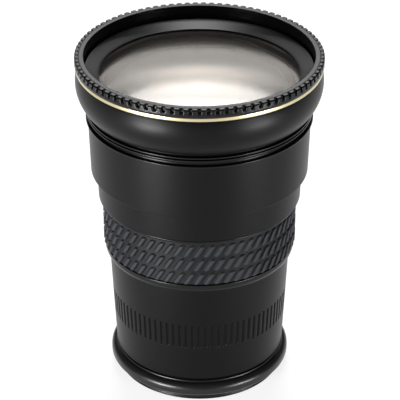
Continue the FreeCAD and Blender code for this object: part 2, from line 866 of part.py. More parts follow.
rear_mount_ring()
rear_lens_cell()
rear_negative_element()
rear_retaining_ring()
rear_barrel()
middle_barrel()
barrel_lock_screws()
grip_shoulder_ring()
rubber_grip()
grip_stop_ring()
front_barrel()
coupling_ring()
groove_ring()
bell_housing()
gold_accent_ring()
toothed_grip_ring()
front_filter_ring()
front_retaining_ring()
front_crown_element()
front_flint_element()
second_front_element()
element_spacer_ring()
front_lens_cell()
baffle_tube()

doc.recompute()
for item in doc.Objects:
    if "Invalid" in item.State or "Error" in item.State:
        raise ValueError("%s: %s" % (item.Name, item.State))

pieces = [item for item in doc.Objects if item.TypeId in ("PartDesign::Body", "Part::Feature")]
for piece in pieces:
    if piece.Shape.isNull() or not piece.Shape.isValid():
        raise ValueError("%s has no valid shape" % piece.Label)

os.makedirs("parts", exist_ok=True)
for piece in pieces:
    piece.Shape.exportStep("parts/%s.step" % piece.Label)
    solids = piece.Shape.Solids
    print("%-24s solids %d  volume %.0f" % (piece.Label, len(solids), piece.Shape.Volume))
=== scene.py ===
import bpy
import json
import math
import numpy as np
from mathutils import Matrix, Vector

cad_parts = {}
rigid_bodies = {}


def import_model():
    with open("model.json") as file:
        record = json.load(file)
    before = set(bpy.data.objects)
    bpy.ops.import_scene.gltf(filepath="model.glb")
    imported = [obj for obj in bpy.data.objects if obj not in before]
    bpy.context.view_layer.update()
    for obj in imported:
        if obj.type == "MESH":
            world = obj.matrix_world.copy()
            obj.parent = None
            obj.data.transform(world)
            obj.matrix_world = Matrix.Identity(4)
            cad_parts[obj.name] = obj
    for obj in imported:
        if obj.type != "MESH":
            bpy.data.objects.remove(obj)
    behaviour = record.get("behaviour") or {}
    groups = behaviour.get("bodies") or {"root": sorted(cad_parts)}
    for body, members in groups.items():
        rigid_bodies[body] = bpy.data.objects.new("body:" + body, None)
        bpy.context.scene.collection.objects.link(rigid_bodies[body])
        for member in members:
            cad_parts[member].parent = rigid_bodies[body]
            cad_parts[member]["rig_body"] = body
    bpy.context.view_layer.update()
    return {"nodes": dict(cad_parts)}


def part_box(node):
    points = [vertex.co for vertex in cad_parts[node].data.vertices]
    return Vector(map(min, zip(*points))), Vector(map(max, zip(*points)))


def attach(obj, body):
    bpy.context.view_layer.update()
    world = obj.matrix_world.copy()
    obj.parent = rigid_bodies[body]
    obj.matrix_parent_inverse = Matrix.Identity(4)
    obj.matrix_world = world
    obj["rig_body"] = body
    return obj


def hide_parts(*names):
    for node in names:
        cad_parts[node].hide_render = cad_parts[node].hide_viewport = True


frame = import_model()
nodes = frame["nodes"]

# Toothed grip ring: the outer ring at the front, turned from aluminium and blasted before it
# was anodised black. A small mill cut its U-shaped notches down from the top corner, and the
# teeth that it left have rounded edges. All sizes of pieces are in millimetres.
TEETH = 90
RIM_OUTER = 44.0
RIM_BORE = 42.5
RIM_FOOT = 123.75
RIM_TOP = 126.9
RIM_CORNER = 0.36
RIM_EDGE = 0.12
EDGE = 0.1
NOTCH_HALF_WIDTH = 0.55
NOTCH_DEPTH = 1.3
NOTCH_HEIGHT = 1.75
NOTCH_WALL = 0.06
TOOTH_ROUNDING = 0.42
TOOTH_FLAT_FROM = 1.2
MARKS_SCALE = 9000
BLAST_SCALE = 5200
CLOUD_SCALE = 60
MARKS_HEIGHT_M = 0.00003
BLAST_HEIGHT_M = 0.00004
TONE_DRIFT = 0.14
ROUGHNESS_DRIFT = 0.04


def placed_piece(name, mesh, slot, *stands_for):
    """Shades the mesh smooth, with normals that follow its larger faces, and puts the piece in the
    place of its nodes."""
    mesh.shade_smooth()
    piece = bpy.data.objects.new(name, mesh)
    bpy.context.scene.collection.objects.link(piece)
    piece.modifiers.new("normals_follow_large_faces", "WEIGHTED_NORMAL").keep_sharp = True
    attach(piece, nodes[stands_for[0]]["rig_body"])
    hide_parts(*stands_for)
    return piece


def ring_piece(name, angle, radius, height, node, slot):
    """Closed ring whose point (i, j) is (r sin a, -r cos a, z), from arrays of angle, radius and
    height with one row per profile point and one column per step round the axis. It rides with its
    node's body and stands for that node."""
    angle, radius, height = np.broadcast_arrays(angle, radius, height)
    rows, columns = radius.shape
    points = np.stack([radius * np.sin(angle), -radius * np.cos(angle), height], axis=-1) * 0.001
    i, j = np.meshgrid(np.arange(rows), np.arange(columns), indexing="ij")
    beside, above = (j + 1) % columns, (i + 1) % rows
    quads = [i * columns + j, i * columns + beside, above * columns + beside, above * columns + j]
    mesh = bpy.data.meshes.new(name)
    mesh.from_pydata(points.reshape(-1, 3), [], np.stack(quads, axis=-1).reshape(-1, 4))
    return placed_piece(name, mesh, slot, node)


def new_material(name):
    """Node material, with its tree and its main shader."""
    material = bpy.data.materials.new(name)
    material.use_nodes = True
    return material, material.node_tree, material.node_tree.nodes["Principled BSDF"]


def own_place(tree):
    """Position in the object's own coordinates, in metres."""
    return tree.nodes.new("ShaderNodeTexCoord").outputs["Object"]


def axis_distance(tree, place):
    """Distance of a place from the optical axis: the length of its x and y parts."""
    flat = tree.nodes.new("ShaderNodeVectorMath")
    flat.operation = "MULTIPLY"
    flat.inputs[1].default_value = (1, 1, 0)
    tree.links.new(place, flat.inputs[0])
    across = tree.nodes.new("ShaderNodeVectorMath")
    across.operation = "LENGTH"
    tree.links.new(flat.outputs[0], across.inputs[0])
    return across.outputs["Value"]


def noise(tree, place, scale, detail):
    """Noise texture that is read at a place."""
    texture = tree.nodes.new("ShaderNodeTexNoise")
    texture.inputs["Scale"].default_value = scale
    texture.inputs["Detail"].default_value = detail
    tree.links.new(place, texture.inputs["Vector"])
    return texture


def shaded(colour, factor):
    """The same colour, with each of its parts times the factor."""
    return [part * factor for part in colour]


def mixed(tree, share, first, second):
    """Colour that goes from the first to the second as the share goes from 0 to 1."""
    tone = tree.nodes.new("ShaderNodeMix")
    tone.data_type = "RGBA"
    tone.inputs["A"].default_value = (*first, 1)
    tone.inputs["B"].default_value = (*second, 1)
    tree.links.new(share, tone.inputs["Factor"])
    return tone.outputs["Result"]


def mapped(tree, value, given, wanted):
    """Value whose given range is stretched to the wanted one, and clamped to it."""
    node = tree.nodes.new("ShaderNodeMapRange")
    node.inputs["From Min"].default_value, node.inputs["From Max"].default_value = given
    node.inputs["To Min"].default_value, node.inputs["To Max"].default_value = wanted
    tree.links.new(value, node.inputs["Value"])
    return node.outputs["Result"]


def bumped(tree, height, strength, distance, under=None):
    """Normal that leans with the slope of a height, on top of the normal under it."""
    node = tree.nodes.new("ShaderNodeBump")
    node.inputs["Strength"].default_value = strength
    node.inputs["Distance"].default_value = distance
    tree.links.new(height, node.inputs["Height"])
    if under is not None:
        tree.links.new(under, node.inputs["Normal"])
    return node.outputs["Normal"]


def black_anodised(name, colour, gloss, roughness, grain, turning):
    """Anodised aluminium: a nearly black coat over blasted grain and faint turning marks. The grain is
    fine noise, and the marks are noise read along radius and height only, so that they run round.
    Gloss is the level of the mirror part, 0.5 for plain IOR 1.5."""
    material, tree, shader = new_material(name)
    shader.inputs["IOR"].default_value = 1.5
    shader.inputs["Specular IOR Level"].default_value = gloss
    place = own_place(tree)
    parts = tree.nodes.new("ShaderNodeSeparateXYZ")
    tree.links.new(place, parts.inputs[0])
    profile = tree.nodes.new("ShaderNodeCombineXYZ")
    tree.links.new(axis_distance(tree, place), profile.inputs[0])
    tree.links.new(parts.outputs[2], profile.inputs[1])
    marks = noise(tree, profile.outputs[0], MARKS_SCALE, detail=3).outputs["Fac"]
    blast = noise(tree, place, BLAST_SCALE, detail=4).outputs["Fac"]
    cloud = noise(tree, place, CLOUD_SCALE, detail=5).outputs["Fac"]
    tone = mixed(tree, cloud, shaded(colour, 1 - TONE_DRIFT), shaded(colour, 1 + TONE_DRIFT))
    tree.links.new(tone, shader.inputs["Base Color"])
    sheen = mapped(tree, blast, (0, 1), (roughness - ROUGHNESS_DRIFT, roughness + ROUGHNESS_DRIFT))
    tree.links.new(sheen, shader.inputs["Roughness"])
    fine = bumped(tree, blast, grain, BLAST_HEIGHT_M)
    tree.links.new(bumped(tree, marks, turning, MARKS_HEIGHT_M, fine), shader.inputs["Normal"])
    return material


foot, top, outer = RIM_FOOT, RIM_TOP, RIM_OUTER
pitch = 2 * math.pi * outer / TEETH
half = NOTCH_HALF_WIDTH

# Columns and rows of points stand closest together where the edge of a notch is rounded.
floor_steps = [-half, -0.45, -0.2, 0, 0.2, 0.45, half]
edge_steps = np.array([NOTCH_WALL, 0.11, 0.18, 0.27, TOOTH_ROUNDING])
beside = np.append(half + edge_steps, TOOTH_FLAT_FROM)
across = np.concatenate([-beside[::-1], floor_steps, beside, [pitch / 2]])
notch = np.repeat(np.arange(TEETH), len(across))
across = np.tile(across, TEETH)
rim_angle = across / outer + notch * 2 * math.pi / TEETH
end = top - NOTCH_HEIGHT + half
climb = np.concatenate([
    [foot + RIM_EDGE, foot + 0.9], end - half - np.append(edge_steps[::-1], 0),
    end - half + np.array([NOTCH_WALL, 0.14, 0.26, 0.4]), np.linspace(end, top - RIM_CORNER, 4)])


def notch_hollow(side, height):
    """Depth of a notch at that distance to the side of its middle line and at that height: full within
    half its width of the line, which ends in a half circle, none one rounding away, and
    rounding * (1 - sqrt(1 - share^2)) on the rounded edge between, with the share falling outwards."""
    away = np.hypot(side, np.minimum(height - end, 0)) - half
    share = np.clip(1 - (away - NOTCH_WALL) / TOOTH_ROUNDING, 0, 1)
    edge = TOOTH_ROUNDING * (1 - np.sqrt(1 - np.minimum(share, 0.999) ** 2))
    return edge + (NOTCH_DEPTH - TOOTH_ROUNDING) * np.clip(1 - away / NOTCH_WALL, 0, 1)


corner = np.array([[0.0, RIM_CORNER], [0.03, 0.24], [0.1, 0.12], [0.2, 0.04], [RIM_CORNER, 0.0]])
wall = outer - notch_hollow(across[None, :], climb[:, None])
lip = outer - corner[:, :1] - notch_hollow(across[None, :], np.full((len(corner), 1), top))
inward = np.array([0.35, 0.7, 1.0])[:, None]
flat_top = lip[-1:] * (1 - inward) + (RIM_BORE + RIM_EDGE) * inward
inside = np.array([
    [RIM_BORE + RIM_EDGE / 4, top - RIM_EDGE / 4], [RIM_BORE, top - RIM_EDGE], [RIM_BORE, foot + EDGE],
    [RIM_BORE + EDGE, foot], [outer - RIM_EDGE, foot]])
radius = np.concatenate([wall, lip, flat_top, inside[:, :1] * np.ones(len(across))])
height = np.concatenate([climb, top - corner[:, 1], [top] * len(inward), inside[:, 1]])[:, None]
toothed_ring = ring_piece(
    "toothed_ring_surface", rim_angle, radius, height, "toothed_grip_ring", "barrel_satin_black")
rim_black = black_anodised(
    "rim_black_anodised", colour=(0.004, 0.004, 0.0043), gloss=0.19, roughness=0.24, grain=0.15, turning=0.2)
toothed_ring.data.materials.append(rim_black)

# Front filter ring: the smooth inner ring, turned from the same black aluminium. A 0.75 mm filter
# thread is cut in its wall, with a lead-in chamfer above and a plain relief below.
THREAD_PITCH = 0.75
THREAD_DEPTH = 0.32
THREAD_CREST = 0.15
THREAD_STEP = 0.085
FILTER_OUTER = 42.45
FILTER_BORE = 40.6
FILTER_RELIEF = 41.1
FILTER_FOOT = 119.3
FILTER_THREAD_LENGTH = 3.4
FILTER_LEAD_IN = 0.3
FILTER_EDGE = 0.08
FILTER_TOP_EDGE = 0.14
FILTER_TOP_BAND = 0.5
FILTER_THREAD_START = 0.1
FILTER_THREAD_END = 0.35
ON_WALL = 0.01
COLUMNS = 360
angle = np.arange(COLUMNS) * 2 * math.pi / COLUMNS


def rounded(corners, radii, steps=5):
    """Closed outline with rounded corners. Beside corner P lie A and B, one radius before it and one
    behind it, and the corner becomes the curve (1-s)^2 A + 2 s (1-s) P + s^2 B for s from 0 to 1."""
    corners = np.array(corners, float)
    radii = np.broadcast_to(np.array(radii, float), len(corners))[:, None]
    back = np.roll(corners, 1, axis=0) - corners
    ahead = np.roll(corners, -1, axis=0) - corners
    start = corners + back / np.linalg.norm(back, axis=1, keepdims=True) * radii
    end = corners + ahead / np.linalg.norm(ahead, axis=1, keepdims=True) * radii
    s = np.linspace(0, 1, steps)[None, :, None]
    curve = (1 - s) ** 2 * start[:, None] + 2 * s * (1 - s) * corners[:, None] + s ** 2 * end[:, None]
    return curve.reshape(-1, 2)


def sampled(outline, longest):
    """The same closed outline with points added, evenly on each side, so that no step is longer
    than the given length."""
    ahead = np.roll(outline, -1, axis=0)
    parts = np.maximum(np.ceil(np.linalg.norm(ahead - outline, axis=1) / longest), 1).astype(int)
    first = np.repeat(np.cumsum(parts) - parts, parts)
    share = ((np.arange(parts.sum()) - first) / np.repeat(parts, parts))[:, None]
    return np.repeat(outline, parts, axis=0) * (1 - share) + np.repeat(ahead, parts, axis=0) * share


def thread_hollow(height, angle, start, end):
    """Depth of a 60 degree thread: a triangle wave of height / pitch - angle / one turn, with flat
    crests, faded out over half a pitch at both ends."""
    turn = height / THREAD_PITCH - angle / (2 * math.pi)
    wave = np.minimum(np.abs((turn % 1) - 0.5) * 2, 1 - THREAD_CREST) / (1 - THREAD_CREST)
    fade_in = np.clip((height - start) / (0.5 * THREAD_PITCH), 0, 1)
    fade_out = np.clip((end - height) / (0.5 * THREAD_PITCH), 0, 1)
    return THREAD_DEPTH * wave * (fade_in * fade_out)


foot, top, outer = FILTER_FOOT, RIM_TOP, FILTER_OUTER
thread_foot = top - FILTER_THREAD_LENGTH
outline = rounded([
    (outer, foot), (outer, top), (FILTER_BORE + FILTER_LEAD_IN, top), (FILTER_BORE, top - FILTER_LEAD_IN),
    (FILTER_BORE, thread_foot), (FILTER_RELIEF, thread_foot), (FILTER_RELIEF, foot)],
    [FILTER_EDGE, FILTER_TOP_EDGE] + [FILTER_EDGE] * 5)

# The thread and the top edge keep every point, and of the plain walls' points one in six is kept.
outline = sampled(outline, THREAD_STEP)
on_thread = outline[:, 0] < FILTER_BORE + ON_WALL
near_top = np.abs(outline[:, 1] - top) < FILTER_TOP_BAND
one_in_six = np.arange(len(outline)) % 6 == 0
outline = outline[on_thread | one_in_six | near_top]
hollow = thread_hollow(outline[:, 1:], angle, thread_foot + FILTER_THREAD_START, top - FILTER_THREAD_END)
radius = outline[:, :1] + np.where(outline[:, :1] < FILTER_BORE + ON_WALL, hollow, 0)
filter_ring = ring_piece(
    "filter_ring_surface", angle, radius, outline[:, 1:], "front_filter_ring", "barrel_satin_black")
filter_ring.data.materials.append(rim_black)

# Gold accent ring: a thin aluminium ring, turned bright and anodised pale gold, clamped between
# the bell housing and the toothed ring.
ACCENT_OUTER = 43.75
ACCENT_FOOT = 122.25
ACCENT_ROUNDING = 0.35
ACCENT_STEP = 0.5
COARSE_STEP = 1.5
GOLD_MARKS_SCALE = (40, 40, 9000)
GOLD_MARKS_HEIGHT_M = 0.00002
GOLD_DRIFT = 0.1


def turned_piece(name, corners, radii, node, slot, material, longest=COARSE_STEP):
    """Ring turned from a rounded outline: the same profile at every step round the axis."""
    outline = sampled(rounded(corners, radii), longest)
    piece = ring_piece(name, angle, outline[:, :1], outline[:, 1:], node, slot)
    piece.data.materials.append(material)
    return piece


def gold_anodised(name, colour, roughness):
    """Bright turned aluminium under a pale gold coat: metal whose tint drifts with fine marks that run
    round, as noise that is fine along the axis and coarse across it."""
    material, tree, shader = new_material(name)
    shader.inputs["Metallic"].default_value = 1.0
    shader.inputs["Roughness"].default_value = roughness
    stretch = tree.nodes.new("ShaderNodeMapping")
    stretch.inputs["Scale"].default_value = GOLD_MARKS_SCALE
    tree.links.new(own_place(tree), stretch.inputs["Vector"])
    marks = noise(tree, stretch.outputs[0], scale=1.0, detail=3).outputs["Fac"]
    tone = mixed(tree, marks, shaded(colour, 1 - GOLD_DRIFT), shaded(colour, 1 + GOLD_DRIFT))
    tree.links.new(tone, shader.inputs["Base Color"])
    lines = bumped(tree, marks, strength=0.15, distance=GOLD_MARKS_HEIGHT_M)
    tree.links.new(lines, shader.inputs["Normal"])
    return material


foot, top, outer = ACCENT_FOOT, RIM_FOOT, ACCENT_OUTER
accent_gold = gold_anodised("accent_gold_anodised", colour=(0.58, 0.51, 0.31), roughness=0.26)
turned_piece(
    "accent_ring_surface", [(RIM_BORE, foot), (outer, foot), (outer, top), (RIM_BORE, top)],
    [EDGE, ACCENT_ROUNDING, ACCENT_ROUNDING, EDGE],
    "gold_accent_ring", "gold_anodised", accent_gold, ACCENT_STEP)

# Bell housing: turned aluminium, blasted and anodised satin black, which carries the cell of the front
# glass. Its wall swells from the foot to its widest girth and draws in again under the accent ring.
CREASE = 0.05
BELL_OUTER = 44.0
BELL_FOOT_HEIGHT = 106.7
BELL_NECK = 39.0
BELL_NECK_HEIGHT = 1.3
BELL_FOOT = 40.3
BELL_FOOT_ROUNDING = 0.22
BELL_RISE = 9.4
BELL_TOP = 43.2
COLLAR_BORE = 38.3
CELL_SEAT_BORE = 39.85
CELL_SEAT_FOOT = 6.2
CELL_SEAT_TOP = 12.6
foot, top, outer = BELL_FOOT_HEIGHT, ACCENT_FOOT, BELL_OUTER
bell_foot = foot + BELL_NECK_HEIGHT


def swelling(widest, drop, rise, away):
    """Radius on a circle that stands upright at the girth and lies the drop inside it one rise away:
    widest - curve + sqrt(curve^2 - away^2), with curve = (drop^2 + rise^2) / (2 drop)."""
    curve = (drop ** 2 + rise ** 2) / (2 * drop)
    return widest - curve + np.sqrt(curve ** 2 - away ** 2)


girth = bell_foot + BELL_RISE
below = np.linspace(1, 0, 22)[:, None] * BELL_RISE
above = np.linspace(0, 1, 12)[1:, None] * (top - girth)
swell_below = np.hstack([swelling(outer, outer - BELL_FOOT, BELL_RISE, below), girth - below])
swell_above = np.hstack([swelling(outer, outer - BELL_TOP, top - girth, above), girth + above])

# Each rounded corner has five points. Where an outline meets the swell, the swell's own points stand,
# and the corner at the foot of the collar's bore is kept once.
under = rounded([
    (COLLAR_BORE, foot), (BELL_NECK, foot), (BELL_NECK, bell_foot), (BELL_FOOT, bell_foot), swell_below[1]],
    [EDGE, CREASE, CREASE, BELL_FOOT_ROUNDING, CREASE])[5:20]
seat = rounded([
    swell_above[-1], (RIM_BORE, top), (RIM_BORE, foot + CELL_SEAT_TOP),
    (CELL_SEAT_BORE, foot + CELL_SEAT_TOP), (CELL_SEAT_BORE, foot + CELL_SEAT_FOOT),
    (COLLAR_BORE, foot + CELL_SEAT_FOOT), (COLLAR_BORE, foot)],
    [EDGE] * 7)[3:]
outline = np.concatenate([under, swell_below[2:], swell_above[:-1], seat])
bell = ring_piece(
    "bell_surface", angle, outline[:, :1], outline[:, 1:], "bell_housing", "barrel_satin_black")
barrel_black = black_anodised(
    "barrel_black_anodised", colour=(0.0022, 0.0022, 0.0024), gloss=0.12, roughness=0.36, grain=0.25,
    turning=0.35)
bell.data.materials.append(barrel_black)

# Groove ring and coupling ring: two thin turned rings of black aluminium between the bell and the
# front barrel, where the coupling ring's spigot sits. Their proud lips frame a recessed band.
GROOVE_FOOT = 104.25
GROOVE_FLOOR = 39.3
GROOVE_OUTER = 40.2
GROOVE_LIP = 0.55
COUPLING_FOOT = 98.3
COUPLING_SEAT_HEIGHT = 102.95
COUPLING_BORE = 35.75
COUPLING_SPIGOT = 37.35
COUPLING_OUTER = 40.6
COUPLING_LIP = 0.57
LIP_ROUNDING = 0.16
COUPLING_LIP_ROUNDING = 0.2
foot, top, outer, lip = GROOVE_FOOT, BELL_FOOT_HEIGHT, GROOVE_OUTER, GROOVE_LIP
turned_piece("groove_ring_surface", [
    (COLLAR_BORE, foot), (GROOVE_FLOOR, foot), (GROOVE_FLOOR, top - 3 * lip), (outer, top - 3 * lip),
    (outer, top - 2 * lip), (GROOVE_FLOOR, top - 2 * lip), (GROOVE_FLOOR, top - lip), (outer, top - lip),
    (outer, top), (COLLAR_BORE, top)],
    [EDGE, EDGE, CREASE, LIP_ROUNDING, LIP_ROUNDING, CREASE, CREASE, LIP_ROUNDING, LIP_ROUNDING, EDGE],
    "groove_ring", "barrel_satin_black", rim_black)
foot, top, outer, seat = COUPLING_FOOT, GROOVE_FOOT, COUPLING_OUTER, COUPLING_SEAT_HEIGHT
turned_piece("coupling_ring_surface", [
    (COUPLING_BORE, foot), (COUPLING_SPIGOT, foot), (COUPLING_SPIGOT, seat), (outer, seat),
    (outer, seat + COUPLING_LIP), (GROOVE_FLOOR, seat + COUPLING_LIP), (GROOVE_FLOOR, top),
    (COUPLING_BORE, top)],
    [EDGE, EDGE, EDGE, COUPLING_LIP_ROUNDING, COUPLING_LIP_ROUNDING, CREASE, CREASE, EDGE],
    "coupling_ring", "barrel_satin_black", rim_black)

# Front barrel: a plain, slightly tapered tube, turned, blasted and anodised black. The coupling ring's
# spigot fits in its top, and its foot is chamfered.
FRONT_OUTER = 39.87
FRONT_FOOT = 82.25
FRONT_TAPER = 0.6
FRONT_CHAMFER = 0.25
FRONT_SOCKET = 35.95
FRONT_BORE = 36.4
COUPLING_SEAT = 37.4
FRONT_TOP_ROUNDING = 0.25
FRONT_CHAMFER_ROUNDING = 0.15
SEAT_GAP = 0.05
MIDDLE_SPIGOT_TOP = 86.4
foot, top, outer = FRONT_FOOT, COUPLING_SEAT_HEIGHT, FRONT_OUTER
turned_piece("front_barrel_surface", [
    (FRONT_SOCKET, foot), (outer - FRONT_TAPER - FRONT_CHAMFER, foot),
    (outer - FRONT_TAPER, foot + FRONT_CHAMFER), (outer, top), (COUPLING_SEAT, top),
    (COUPLING_SEAT, COUPLING_FOOT - SEAT_GAP), (FRONT_BORE, COUPLING_FOOT - SEAT_GAP),
    (FRONT_BORE, MIDDLE_SPIGOT_TOP + SEAT_GAP), (FRONT_SOCKET, MIDDLE_SPIGOT_TOP + SEAT_GAP)],
    [EDGE, EDGE, FRONT_CHAMFER_ROUNDING, FRONT_TOP_ROUNDING, EDGE, EDGE, EDGE, CREASE, CREASE],
    "front_barrel", "barrel_satin_black", barrel_black)

# Middle barrel: the narrower tube below, of the same finish, whose spigot fits in the front barrel.
# Its thin neck runs down under the rubber.
MIDDLE_OUTER = 37.15
MIDDLE_TAPER = 0.38
MIDDLE_ROUNDING = 0.2
MIDDLE_SPIGOT = 35.9
MIDDLE_SPIGOT_BORE = 34.0
MIDDLE_SHELF = 1.35
NECK_FOOT = 49.4
NECK_BORE = 31.55
NECK = 32.95
STOP_TOP = 71.65
foot, top, outer = NECK_FOOT, MIDDLE_SPIGOT_TOP, MIDDLE_OUTER
turned_piece("middle_barrel_surface", [
    (NECK_BORE, foot), (NECK, foot), (NECK, STOP_TOP), (outer - MIDDLE_TAPER, STOP_TOP), (outer, FRONT_FOOT),
    (MIDDLE_SPIGOT, FRONT_FOOT), (MIDDLE_SPIGOT, top), (MIDDLE_SPIGOT_BORE, top),
    (MIDDLE_SPIGOT_BORE, STOP_TOP + MIDDLE_SHELF), (NECK_BORE, STOP_TOP + MIDDLE_SHELF)],
    [EDGE, EDGE, EDGE, MIDDLE_ROUNDING, MIDDLE_ROUNDING, EDGE, MIDDLE_ROUNDING, MIDDLE_ROUNDING, EDGE, EDGE],
    "middle_barrel", "barrel_satin_black", barrel_black)

# Grip stop ring: a thin turned ring of black aluminium on the neck, with a proud bevelled band, that
# closes the rubber from above.
STOP_OUTER = 36.0
STOP_FOOT = 69.7
STOP_PROUD = 0.73
STOP_BEVEL = 0.3
STOP_ROUNDING = 0.2
SLEEVE_BORE = 33.0
foot, top, outer = STOP_FOOT, STOP_TOP, STOP_OUTER
land = outer - STOP_PROUD
turned_piece("stop_ring_surface", [
    (SLEEVE_BORE, foot), (land, foot), (land, foot + STOP_BEVEL), (outer, foot + 2 * STOP_BEVEL),
    (outer, top - 2 * STOP_BEVEL), (land, top - STOP_BEVEL), (land, top), (SLEEVE_BORE, top)],
    [EDGE, EDGE, CREASE, STOP_ROUNDING, STOP_ROUNDING, CREASE, EDGE, EDGE],
    "grip_stop_ring", "barrel_satin_black", rim_black)

# Rubber grip: a moulded sleeve, stretched over the neck, with three rows of slanted ribs that are
# rounded at their ends and edges.
GRIP_OUTER = 35.37
GRIP_FOOT = 52.4
GRIP_TOP = 69.55
GRIP_MARGIN = 0.2
GRIP_LEVELS = 64
RIBS = 60
RIB_COLUMNS = 20
RIB_LEAN = math.radians(31)
RIB_HEIGHT = 0.85
RIB_HALF_WIDTH = 0.82
RIB_LENGTH = 4.9
RIB_FOOT = 0.18
RIB_EDGE = 0.28
RIB_EDGE_POWER = 0.6
ROW_PITCH = 5.7
RUBBER_SKIN_SCALE = 3600
RUBBER_DUST_SCALE = 180
RUBBER_SKIN_HEIGHT_M = 0.00004
RUBBER_ROUGHNESS = (0.46, 0.62)
# Painted shade on the grip: over these heights above the sleeve, in mm, the rubber's colour lightens from its
# dark recess colour to its rib top colour.
PAINTED_SHADE_FROM = 0.3
PAINTED_SHADE_TO = 0.9
GRIP_CORNER = 0.25
CORNER_IN = 0.08
CORNER_DOWN = 0.07
foot, top = GRIP_FOOT, GRIP_TOP
base = GRIP_OUTER - RIB_HEIGHT

# Each row of the surface slides round by tan(lean) times its height over the middle of its row of
# ribs, and slides back in the gap between two rows.
middle = foot + RIB_FOOT + RIB_LENGTH / 2 + ROW_PITCH
side = np.linspace(foot + GRIP_MARGIN, top - GRIP_MARGIN, GRIP_LEVELS)
row = np.clip(np.round((side - middle) / ROW_PITCH), -1, 1)
from_row = side - middle - row * ROW_PITCH
within = np.clip(from_row, -RIB_LENGTH / 2, RIB_LENGTH / 2)
past = np.abs(from_row) - np.abs(within)
half_gap = ROW_PITCH / 2 - RIB_LENGTH / 2
ease = np.where(np.abs(side - middle) < ROW_PITCH * 1.5, np.clip(1 - past / half_gap, 0, 1), 1)
slide = within * math.tan(RIB_LEAN) * ease

# A rib's height over the sleeve is its full height times (distance inside its edge / edge)^0.6, up to
# the full height. It runs along its middle line and ends in half circles.
step = np.arange(RIBS * RIB_COLUMNS)
grip_angle = step * 2 * math.pi / len(step)
column = (step + RIB_COLUMNS // 2) % RIB_COLUMNS - RIB_COLUMNS // 2
around = column / RIB_COLUMNS * 2 * math.pi * base / RIBS
half_run = RIB_LENGTH / 2 - RIB_HALF_WIDTH
beyond = np.maximum(np.abs(from_row) - half_run, 0) / math.cos(RIB_LEAN)
away = np.hypot(around[None, :] * math.cos(RIB_LEAN), beyond[:, None])
rib = RIB_HEIGHT * np.clip((RIB_HALF_WIDTH - away) / RIB_EDGE, 0, 1) ** RIB_EDGE_POWER
ends = np.array([
    [base - CORNER_IN, top - CORNER_DOWN], [base - GRIP_CORNER, top], [SLEEVE_BORE + EDGE, top],
    [SLEEVE_BORE, top - EDGE], [SLEEVE_BORE, foot + EDGE], [SLEEVE_BORE + EDGE, foot],
    [base - GRIP_CORNER, foot], [base - CORNER_IN, foot + CORNER_DOWN]])
radius = np.concatenate([base + rib, ends[:, :1] * np.ones(len(step))])
height = np.concatenate([side, ends[:, 1]])[:, None]
turned_by = np.concatenate([slide / base, np.zeros(len(ends))])[:, None]
grip = ring_piece(
    "grip_surface", grip_angle[None, :] + turned_by, radius, height, "rubber_grip", "grip_rubber")


def moulded_rubber(name, shaded_recess_colour, rib_top_colour, sleeve):
    """Soft black rubber with a faint skin of fine noise. Its colour goes from the dark recess colour to the
    rib top colour with the distance from the axis, from the sleeve to the top of its ribs: painted shade,
    darker down between the ribs."""
    material, tree, shader = new_material(name)
    shader.inputs["Specular IOR Level"].default_value = 0.2
    place = own_place(tree)
    skin = noise(tree, place, RUBBER_SKIN_SCALE, detail=4)
    dust = noise(tree, place, RUBBER_DUST_SCALE, detail=6)
    # Painted shade: darkest at the sleeve between the ribs, lighter towards the rib tops.
    painted_shade_range = ((sleeve + PAINTED_SHADE_FROM) * 0.001, (sleeve + PAINTED_SHADE_TO) * 0.001)
    out_of_shade = mapped(tree, axis_distance(tree, place), painted_shade_range, (0, 1))
    patches = tree.nodes.new("ShaderNodeMix")
    patches.data_type = "RGBA"
    patches.blend_type = "MULTIPLY"
    patches.inputs["Factor"].default_value = 0.35
    tree.links.new(mixed(tree, out_of_shade, shaded_recess_colour, rib_top_colour), patches.inputs["A"])
    tree.links.new(dust.outputs["Color"], patches.inputs["B"])
    tree.links.new(patches.outputs["Result"], shader.inputs["Base Color"])
    sheen = mapped(tree, dust.outputs["Fac"], (0, 1), RUBBER_ROUGHNESS)
    tree.links.new(sheen, shader.inputs["Roughness"])
    grain = bumped(tree, skin.outputs["Fac"], strength=0.3, distance=RUBBER_SKIN_HEIGHT_M)
    tree.links.new(grain, shader.inputs["Normal"])
    return material


# The first colour is painted shade down between the ribs. The second is the ribs' tops, out of that shade.
grip.data.materials.append(moulded_rubber(
    "grip_rubber", shaded_recess_colour=(0.003, 0.0032, 0.004), rib_top_colour=(0.024, 0.027, 0.033), sleeve=base))

# Grip shoulder ring: the rounded ring of turned black aluminium that closes the rubber from below.
# It sits on the foot of the neck with the same close fit as the stop ring.
SHOULDER_OUTER = 34.81
SHOULDER_TOP = 52.25
SHOULDER_FOOT_IN = 0.6
SHOULDER_CURVE_IN = 0.2
SHOULDER_CURVE_RISE = 0.6
SHOULDER_RISE = 1.3
SHOULDER_FOOT_ROUNDING = 0.12
SHOULDER_CURVE_ROUNDING = 0.3
SHOULDER_TOP_ROUNDING = 0.4
foot, top, outer = NECK_FOOT, SHOULDER_TOP, SHOULDER_OUTER
turned_piece("shoulder_ring_surface", [
    (SLEEVE_BORE, foot), (outer - SHOULDER_FOOT_IN, foot),
    (outer - SHOULDER_CURVE_IN, foot + SHOULDER_CURVE_RISE), (outer, foot + SHOULDER_RISE), (outer, top),
    (SLEEVE_BORE, top)],
    [EDGE, SHOULDER_FOOT_ROUNDING, SHOULDER_CURVE_ROUNDING, SHOULDER_CURVE_ROUNDING, SHOULDER_TOP_ROUNDING,
     EDGE],
    "grip_shoulder_ring", "barrel_satin_black", rim_black)

